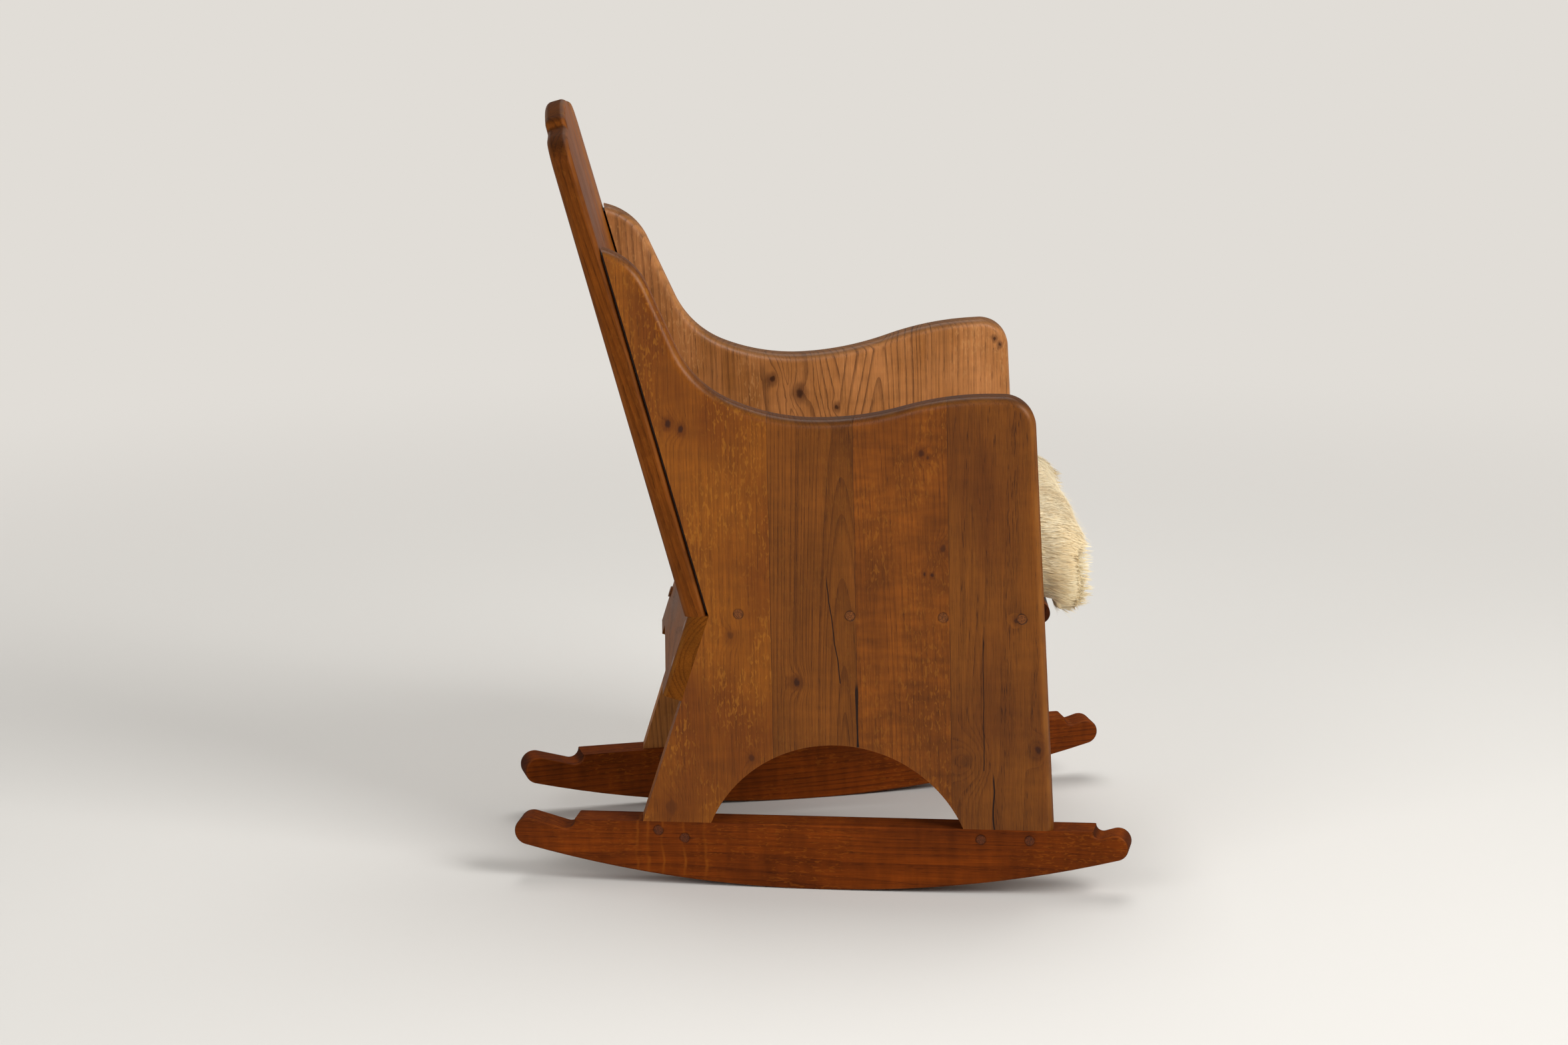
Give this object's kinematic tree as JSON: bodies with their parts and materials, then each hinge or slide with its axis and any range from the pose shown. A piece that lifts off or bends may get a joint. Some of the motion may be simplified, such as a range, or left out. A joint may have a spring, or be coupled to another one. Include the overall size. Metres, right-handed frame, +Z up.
{
  "type": "rocking armchair",
  "caption": "Solid oak rocking armchair: splayed plank sides with curved arms and wings on curved rockers, leaning board back, pegged board seat and a loose hide cushion.",
  "frame": {"origin": "middle of the chair's outline on the floor that its rockers stand on", "axes": "+X to the front, +Y to the sitter's left, +Z up"},
  "size_m": [0.7558, 0.5978, 0.9454],
  "materials": {
    "oak_rocker": "satin varnished oak",
    "oak_side": "satin varnished oak",
    "oak_back": "satin varnished oak",
    "oak_seat": "satin varnished oak",
    "oak_peg": "end grain of oak pegs",
    "beech_dowel": "plain beech dowel",
    "hide": "short cream hair on hide",
    "filling": "soft cushion filling",
    "lining": "plain woven cloth"
  },
  "bodies": {
    "chair": {"rocker_right": "oak_rocker", "rocker_left": "oak_rocker", "side_right_plank_1": "oak_side", "side_right_plank_2": "oak_side", "side_right_plank_3": "oak_side", "side_right_plank_4": "oak_side", "side_left_plank_1": "oak_side", "side_left_plank_2": "oak_side", "side_left_plank_3": "oak_side", "side_left_plank_4": "oak_side", "back_board_right": "oak_back", "back_board_centre": "oak_back", "back_board_left": "oak_back", "lower_back_board": "oak_back", "seat_board_1": "oak_seat", "seat_board_2": "oak_seat", "seat_board_3": "oak_seat", "seat_board_4": "oak_seat", "seat_pegs_right": "oak_peg", "seat_pegs_left": "oak_peg", "rocker_pegs_right": "oak_peg", "rocker_pegs_left": "oak_peg", "back_dowels_right": "beech_dowel", "back_dowels_left": "beech_dowel", "lower_pegs_right": "oak_peg", "lower_pegs_left": "oak_peg"},
    "cushion": {"cushion_hide_cover": "hide", "cushion_filling": "filling", "cushion_lining": "lining"}
  },
  "joints": [
    {"name": "cushion_lift", "type": "slide", "parent": "chair", "child": "cushion", "axis": [0, 0, 1], "range_m": [0, 0.3]}
  ]
}
